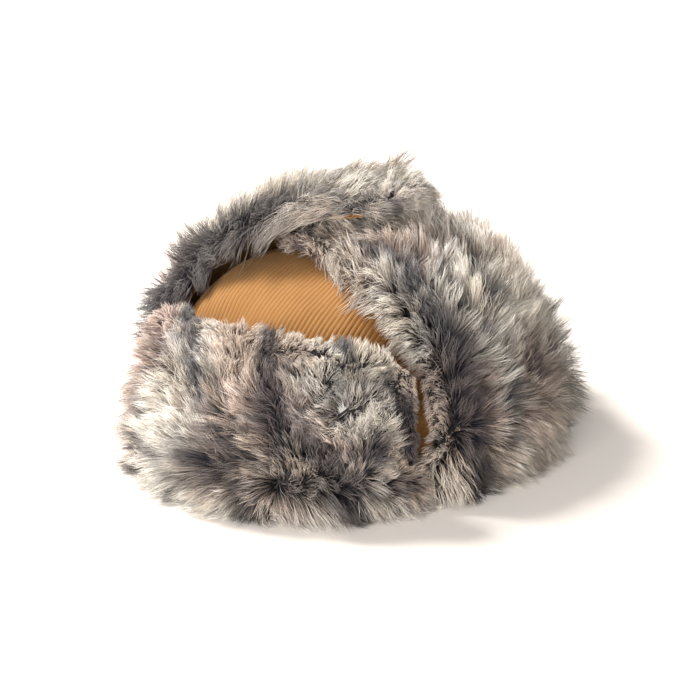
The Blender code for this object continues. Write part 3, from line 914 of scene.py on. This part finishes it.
def add_shell(name, surface, side, material, body, node):
    """A flap's corduroy face, which lies against the crown, with wales from the fold to the tip."""
    across, along = 330, 44
    v, u = np.meshgrid(np.linspace(0, 0.968, along), np.linspace(0.020, 0.980, across), indexing="ij")
    base, normal = frame_at(surface, u, v, -SHELL, side)[:2]
    distance = arc_lengths(base, 1)
    ridge = ridges(np.broadcast_to((distance[0] + distance[along // 2]) / 2, u.shape))
    inner = base + normal * (0.0007 * (1 - ridge))[..., None]
    outer = base + normal * SHELL
    for grid in (outer, inner):
        keep_above(grid, 0.0006)
    mesh = solid_sheet(name, outer, inner, flip=side < 0)
    set_floats(mesh, "ridge", np.concatenate([np.full(ridge.size, 0.6), ridge.ravel()]))
    piece = link(name, mesh, material, body)
    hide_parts(node)
    return piece, base


def add_topstitch(name, surface, depth, material, body):
    """Stitches around a flap's free edges, on its corduroy face."""
    low, high, count = 0.028, 0.972, 240
    run = np.linspace(low, high, count)
    climb = np.linspace(0.06, high, count)
    u = np.concatenate([np.full(count, low), run, np.full(count, high)])
    v = np.concatenate([climb, np.full(count, high), climb[::-1]])
    add_stitches(name, surface(u, v, depth), material, body, 0.0030, 0.00028)


def hem_grid(layer, profile, angles, side=1.0):
    """Points beside a dome's hem: a row for each angle, a column for each (reach, height)."""
    reach, height = np.array(profile).T
    x = side * (layer[0] + reach) * np.sin(angles)[:, None]
    y = -(layer[1] + reach) * np.cos(angles)[:, None]
    return np.stack([x, y, np.broadcast_to(np.maximum(height, FLOOR_GAP), x.shape)], axis=-1)


def add_fold(name, layer, turns, side, material):
    """The cloth that joins the crown's hem to a flap's."""
    section = [(-0.0008, 0.0004), (0.0003, 0.0003), (0.0014, 0.0004), (0.0021, 0.0010)]
    section += [(0.0023, 0.0022), (0.0023, 0.0040), (0.0023, 0.0062), (0.0023, 0.0088)]
    behind = [(reach - FOLD_THICKNESS, height + FOLD_THICKNESS) for reach, height in section]
    angles = np.radians(np.linspace(*turns, 90))
    outer, inner = hem_grid(layer, section, angles, side), hem_grid(layer, behind, angles, side)
    mesh = solid_sheet(name, outer, inner, flip=side > 0)
    ridge = ridges(arc_lengths(outer, 0)).ravel()
    set_floats(mesh, "ridge", np.concatenate([ridge, ridge]))
    piece = link(name, mesh, material, None)
    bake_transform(piece)


def ring_mesh(name, rings):
    """A closed band from rings that follow its section all the way round."""
    rows, columns = rings.shape[:2]
    index = np.arange(rows * columns).reshape(rows, columns)
    across, along = np.roll(index, -1, axis=0), np.roll(index, -1, axis=1)
    both = np.roll(across, -1, axis=1)
    quads = np.stack([index, along, both, across], axis=-1).reshape(-1, 4)
    return mesh_from(name, rings.reshape(-1, 3), quads)


def ribbing(count):
    """Ribs five points wide, 0 to 1."""
    return 0.5 + 0.5 * np.cos(np.arange(count) * 2 * np.pi / 5)


def add_sweatband(material, thread):
    """A ribbed ribbon inside the hem, which leans in with the lining, and its two stitch rows."""
    low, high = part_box("sweatband")
    room = high.z / (1 - (1 - SWEATBAND_LEAN) ** CROWN_POWER) ** (1 / CROWN_POWER)
    turns, heights = 900, np.linspace(low.z, high.z, 18)
    angles = full_turn(turns)
    ribs = ribbing(turns)
    from_edge = np.minimum(heights - low.z, high.z - heights)
    rounding = 0.5 + 0.5 * np.cos(np.pi * np.clip(from_edge / 0.0012, 0, 1))

    def ring(z, inset):
        share = (1 - (z / room) ** CROWN_POWER) ** (1 / CROWN_POWER)
        x, y = (high.x - inset) * share * np.sin(angles), -(high.y - inset) * share * np.cos(angles)
        return np.stack([x, y, np.full(turns, z)], axis=-1)

    ribbed = 0.0011 - 0.00022 * (1 - ribs)
    inside = [ring(z, ribbed - 0.0004 * edge) for z, edge in zip(heights, rounding)]
    outside = [ring(z, 0.0002 + 0.0002 * edge) for z, edge in zip(heights, rounding)]
    rings = np.stack(inside + outside[::-1])
    mesh = ring_mesh("sweatband_ribbon", rings)
    set_floats(mesh, "ridge", np.tile(ribs, len(rings)))
    band = link("sweatband_ribbon", mesh, material, "crown")
    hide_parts("sweatband")
    for name, z in (("low", low.z + 0.0028), ("high", high.z - 0.0028)):
        line = ring(z, 0.0013)[::3]
        add_stitches(f"sweatband_stitch_{name}", line, thread, "crown", 0.0032, 0.00022)
    return band


def add_binding(material):
    """A ribbon folded round the crown's raw hem, seen from below."""
    profile = [(-0.0075, 0.0024), (-0.0068, 0.0008), (-0.0050, 0.0004), (-0.0026, 0.0004)]
    profile += [(-0.0023, 0.0012), (-0.0026, 0.0020), (-0.0050, 0.0021), (-0.0066, 0.0024)]
    turns = 360
    rings = hem_grid(crown, profile, full_turn(turns)).swapaxes(0, 1)
    rings = rings + 0.00012 * waves(rings, 0.006, SEED + 9)[..., None] * np.array([0.0, 0.0, 1.0])
    mesh = ring_mesh("hem_binding", rings)
    set_floats(mesh, "ridge", np.tile(ribbing(turns), len(profile)))
    binding = link("hem_binding", mesh, material, "crown")


def add_size_label(material, thread):
    """A blank woven label, bowed along the back of the sweatband, stitched at both ends."""
    low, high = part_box("size_label")
    side, up = np.meshgrid(np.linspace(low.x, high.x, 60), np.linspace(low.z, high.z, 44))
    bow = high.y - (high.y - low.y) * 0.55 * (side / high.x) ** 2 - 0.012 * ((up - low.z) / 0.1) ** 2
    curl = 0.0004 * smooth(0.85, 1.0, (up - low.z) / (high.z - low.z))
    back = np.stack([side, bow - 0.0003, up], axis=-1)
    front = np.stack([side, bow - 0.0008 - curl, up], axis=-1)
    mesh = solid_sheet("size_label_cloth", front, back)
    cloth = link("size_label_cloth", mesh, material, "crown")
    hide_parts("size_label")
    for name, x in (("left", high.x - 0.0015), ("right", low.x + 0.0015)):
        column = int(np.argmin(np.abs(side[0] - x)))
        line = front[:, column] - np.array([0.0, 0.00015, 0.0])
        add_stitches(f"size_label_stitch_{name}", line, thread, "crown", 0.0024, 0.00018)


def slump(grid, held):
    """Lets a sheet sag under its own weight between its stitched lines, by cloth simulation."""
    rows, columns = grid.shape[:2]
    mesh = mesh_from("slump", grid.reshape(-1, 3), grid_quads(rows, columns))
    cloth = bpy.data.objects.new("slump", mesh)
    bpy.context.scene.collection.objects.link(cloth)
    group = cloth.vertex_groups.new(name="held")
    for i, weight in enumerate(held.ravel()):
        group.add([i], float(weight), "REPLACE")
    modifier = cloth.modifiers.new("cloth", "CLOTH")
    settings = {"quality": 6, "mass": 0.12, "shrink_min": -0.07, "vertex_group_mass": "held"}
    settings |= {"tension_stiffness": 12.0, "compression_stiffness": 4.0, "bending_stiffness": 0.05}
    for key, value in settings.items():
        setattr(modifier.settings, key, value)
    scene = bpy.context.scene
    modifier.point_cache.frame_start, modifier.point_cache.frame_end = 1, CLOTH_FRAMES
    for step in range(1, CLOTH_FRAMES + 1):
        scene.frame_set(step)
    shaped = cloth.evaluated_get(bpy.context.evaluated_depsgraph_get())
    points = np.empty(rows * columns * 3, np.float32)
    shaped.data.vertices.foreach_get("co", points)
    scene.frame_set(1)
    bpy.data.objects.remove(cloth, do_unlink=True)
    return points.reshape(grid.shape).astype(float)


def add_lining(layer, material):
    """Quilted satin: three padded panels, sewn in diamonds, that sag a little between the seams."""
    for kind in ("centre", "left", "right"):
        side = -1.0 if kind == "right" else 1.0
        x, y = panel_grid(layer, kind, 96 if kind == "centre" else 60, 150)
        base = dome(layer, x, y)
        keep_above(base, 0.0027)
        normal = grid_normals(base, side)
        across, along = arc_lengths(base, 1), arc_lengths(base, 0)
        first = np.abs(np.sin(np.pi * (across + along) / QUILT))
        second = np.abs(np.sin(np.pi * (across - along) / QUILT))
        sewn = np.minimum(first, second)
        to_side = np.minimum(across, across[:, -1:] - across)
        rim = np.minimum(to_side, np.minimum(along, along[-1:] - along))
        puff = (1 - (1 - np.clip(sewn * 1.6, 0, 1)) ** 2) * smooth(0.0, 0.006, rim)
        inner = base - normal * (QUILT_PUFF * puff - QUILT_SINK)[..., None]
        held = np.clip(1.0 - puff * 2.5, 0.0, 1.0)
        held[0] = held[-1] = held[:, 0] = held[:, -1] = 1.0
        sag = ((slump(inner, held) - inner) * normal).sum(-1)
        inner = inner + normal * np.clip(sag, -QUILT_SINK, 0.0)[..., None]
        outer = base + normal * 0.0030
        mesh = solid_sheet(f"lining_quilt_{kind}", outer, inner, flip=side < 0)
        piece = link(f"lining_quilt_{kind}", mesh, material, "crown")
        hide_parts(f"lining_{kind}_panel", f"wadding_{kind}_panel")


def add_tack(name, node, material):
    """A bar of three twisted plies of thread that holds the visor to the crown."""
    low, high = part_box(node)
    middle = (low + high) / 2
    out = Vector((middle.x / crown[0] ** 2, middle.y / crown[1] ** 2, 0.0)).normalized()
    length = max(high.x - low.x, high.y - low.y) + 0.0006
    out, aside, up = np.array(out), np.array((-out.y, out.x, 0.0)), np.array((0.0, 0.0, 1.0))
    run = np.linspace(-0.5, 0.5, 26)
    radius = np.where(np.abs(run) > 0.47, 0.3, 1.0) * PLY_RADIUS

    def circle(angles):
        return np.cos(angles)[:, None] * aside + np.sin(angles)[:, None] * up

    ring = circle(full_turn(8))
    plies = []
    for ply in range(3):
        twist = np.linspace(0.0, 2.2 * math.pi, 26) + ply * 2 * math.pi / 3
        centre = np.array(middle) + run[:, None] * length * out + PLY_REACH * circle(twist)
        plies.append(centre[:, None] + ring * radius[:, None, None])
    piece = link(name, tube_mesh(name, np.stack(plies)), material, "crown")
    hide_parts(node)


def floor_material():
    """Pale, and brighter to the camera than its own shade so that it reads as a white ground.

    It fades into the white around it, and opens where a lowered flap hangs below it."""
    n = Nodes("floor", 0.9, specular=0.0)
    n.colour((0.76, 0.690, 0.625))
    path = n.add("ShaderNodeLightPath")
    seen = n.maths("MAXIMUM", path.outputs["Is Camera Ray"], path.outputs["Is Glossy Ray"])
    away = n.add("ShaderNodeVectorMath", {0: n.place()}, operation="LENGTH").outputs["Value"]
    glow = n.add("ShaderNodeEmission", {"Color": (1.0, 0.96, 0.92, 1.0)})
    n.put(n.times(seen, n.spread(away, 0.5, 1.3, 0.20, 1.0)), glow.inputs["Strength"])
    lit = n.add("ShaderNodeAddShader", {0: n.shader.outputs[0], 1: glow.outputs[0]})
    under = n.add("ShaderNodeAmbientOcclusion", {"Distance": 0.42}, inside=True, samples=40)
    opened = n.ramp(under.outputs["AO"], [(0.976, 1.0), (0.999, 0.0)])
    clear = n.add("ShaderNodeBsdfTransparent")
    floor = n.add("ShaderNodeMixShader", {0: opened, 1: lit.outputs[0], 2: clear.outputs[0]})
    n.put(floor.outputs[0], n.tree.nodes["Material Output"].inputs["Surface"])
    return n.material


def make_stage():
    scene = bpy.context.scene
    scene.view_settings.view_transform = "Standard"
    bpy.ops.mesh.primitive_plane_add(size=8.0)
    floor = bpy.context.object
    floor.name = "floor"
    floor.data.materials.append(floor_material())

    scene.world = bpy.data.worlds.new("studio")
    scene.world.use_nodes = True
    tree = scene.world.node_tree
    path, seen, strength = (
        tree.nodes.new(f"ShaderNode{kind}") for kind in ("LightPath", "Math", "MapRange")
    )
    seen.operation = "MAXIMUM"
    strength.inputs["To Min"].default_value = WORLD_LIGHT
    tree.links.new(path.outputs["Is Camera Ray"], seen.inputs[0])
    tree.links.new(path.outputs["Is Transmission Ray"], seen.inputs[1])
    tree.links.new(seen.outputs[0], strength.inputs["Value"])
    background = tree.nodes["Background"]
    tree.links.new(strength.outputs[0], background.inputs["Strength"])
    background.inputs["Color"].default_value = (1.0, 1.0, 1.0, 1.0)

    add_light("key", (-0.98, 0.0, 1.36), 0.42, 45.0)
    add_light("fill", (0.35, -1.6, 0.38), 0.9, 28.0)


def add_light(name, place, size, power):
    data = bpy.data.lights.new(name, "AREA")
    data.size = size
    data.energy = power
    lamp = bpy.data.objects.new(name, data)
    lamp.location = place
    away = Vector(place) - Vector((0.0, 0.0, LIT_HEIGHT))
    lamp.rotation_euler = away.to_track_quat("Z", "Y").to_euler()
    bpy.context.scene.collection.objects.link(lamp)


def add_furred(name, surface, side, start, comb_field, count, body, nodes):
    """A fur-faced panel: its strands and backing, its corduroy face and its topstitching."""
    fur_node, shell_node = nodes
    backing, grid = add_skin(f"{name}_fur_skin", surface, side, start, body, skin)
    strands = grow_fur(name, surface, side, start + SKIN * 0.7, comb_field, count, body, fur)
    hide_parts(fur_node)
    shell, grid = add_shell(f"{name}_corduroy", surface, side, corduroy, body, shell_node)
    add_topstitch(f"{name}_topstitch", surface, -SHELL - 0.0001, brown_thread, body)


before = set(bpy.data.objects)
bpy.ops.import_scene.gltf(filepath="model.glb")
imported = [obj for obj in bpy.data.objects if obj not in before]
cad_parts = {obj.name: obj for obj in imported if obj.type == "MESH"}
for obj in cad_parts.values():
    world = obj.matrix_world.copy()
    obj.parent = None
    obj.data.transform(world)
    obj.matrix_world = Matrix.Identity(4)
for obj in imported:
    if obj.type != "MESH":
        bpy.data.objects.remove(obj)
cad_box = [list(corner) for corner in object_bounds()]
make_camera()
make_stage()

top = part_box("crown_centre_panel")[1]
crown = (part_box("crown_left_panel")[1].x, top.y, top.z, CROWN_POWER)
left_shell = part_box("ear_flap_left_shell")[1]
flap = (left_shell.x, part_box("neck_flap_shell")[1].y, left_shell.z, FLAP_POWER)
over_flap = (flap[0], flap[1], flap[2] + OVERLAP_LIFT, RIGHT_FLAP_POWER)
visor_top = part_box("visor_fur")[1].z

fur, skin, corduroy, ribbon = fur_material(), skin_material(), corduroy_material(), ribbon_material()
brown_thread = thread_material("topstitch_thread", (0.34, 0.17, 0.055), (0.62, 0.36, 0.14))
pale_thread = thread_material("label_thread", (0.62, 0.60, 0.56), (0.85, 0.83, 0.79))
label_scale, label_colours = (3200.0, 3200.0, 900.0), ((0.60, 0.585, 0.55), (0.86, 0.85, 0.82))
label = cloth_material("label_weave", (0.7, 0.25), label_scale, *label_colours, 0.0001, 1.0, 0.8)
board_scale, board_colours = (800.0, 800.0, 800.0), ((0.50, 0.47, 0.42), (0.68, 0.66, 0.61))
board = cloth_material("stiffener_board", (0.8, 0.3), board_scale, *board_colours, 0.0001, 3.0)

add_crown(crown, corduroy, brown_thread)
add_lining((*(size - LINING_DEPTH for size in crown[:3]), CROWN_POWER), lining_material())
band = add_sweatband(ribbon, brown_thread)
add_binding(ribbon)
add_size_label(label, pale_thread)
for side in ("left", "right"):
    add_tack(f"visor_tack_thread_{side}", f"visor_tack_{side}", brown_thread)

visor, visor_nodes = visor_surface(flap, visor_top), ("visor_fur", "visor_backing")
add_furred("visor", visor, 1.0, VISOR_SKIN_START, visor_comb, 34000, "crown", visor_nodes)
slit = math.degrees(NECK_SLIT / (flap[0] - SHELL))
back_angles = (EAR_ANGLES[1] + slit, 360.0 - EAR_ANGLES[1] - slit)
flaps = [
    ("ear_left", "ear_flap_left", ear_surface(flap, **LEFT_EAR), 1.0, ear_comb, 36000),
    ("ear_right", "ear_flap_right", ear_surface(over_flap, **RIGHT_EAR), -1.0, ear_comb, 34000),
    ("neck", "neck_flap", neck_surface(flap), 1.0, neck_comb, 16000),
]
for name, body, surface, side, comb_field, count in flaps:
    nodes = (f"{body}_fur", f"{body}_shell")
    add_furred(name, surface, side, FLAP_SKIN_START, comb_field, count, body, nodes)
add_fold("fold_left", crown, EAR_ANGLES, 1.0, corduroy)
add_fold("fold_right", crown, EAR_ANGLES, -1.0, corduroy)
add_fold("fold_back", crown, back_angles, 1.0, corduroy)

metal = metal_material()
bare_nodes = {"visor_stiffener": board, "press_stud_ball": metal, "press_stud_socket": metal}
for node, material in bare_nodes.items():
    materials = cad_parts[node].data.materials
    materials.clear()
    materials.append(material)
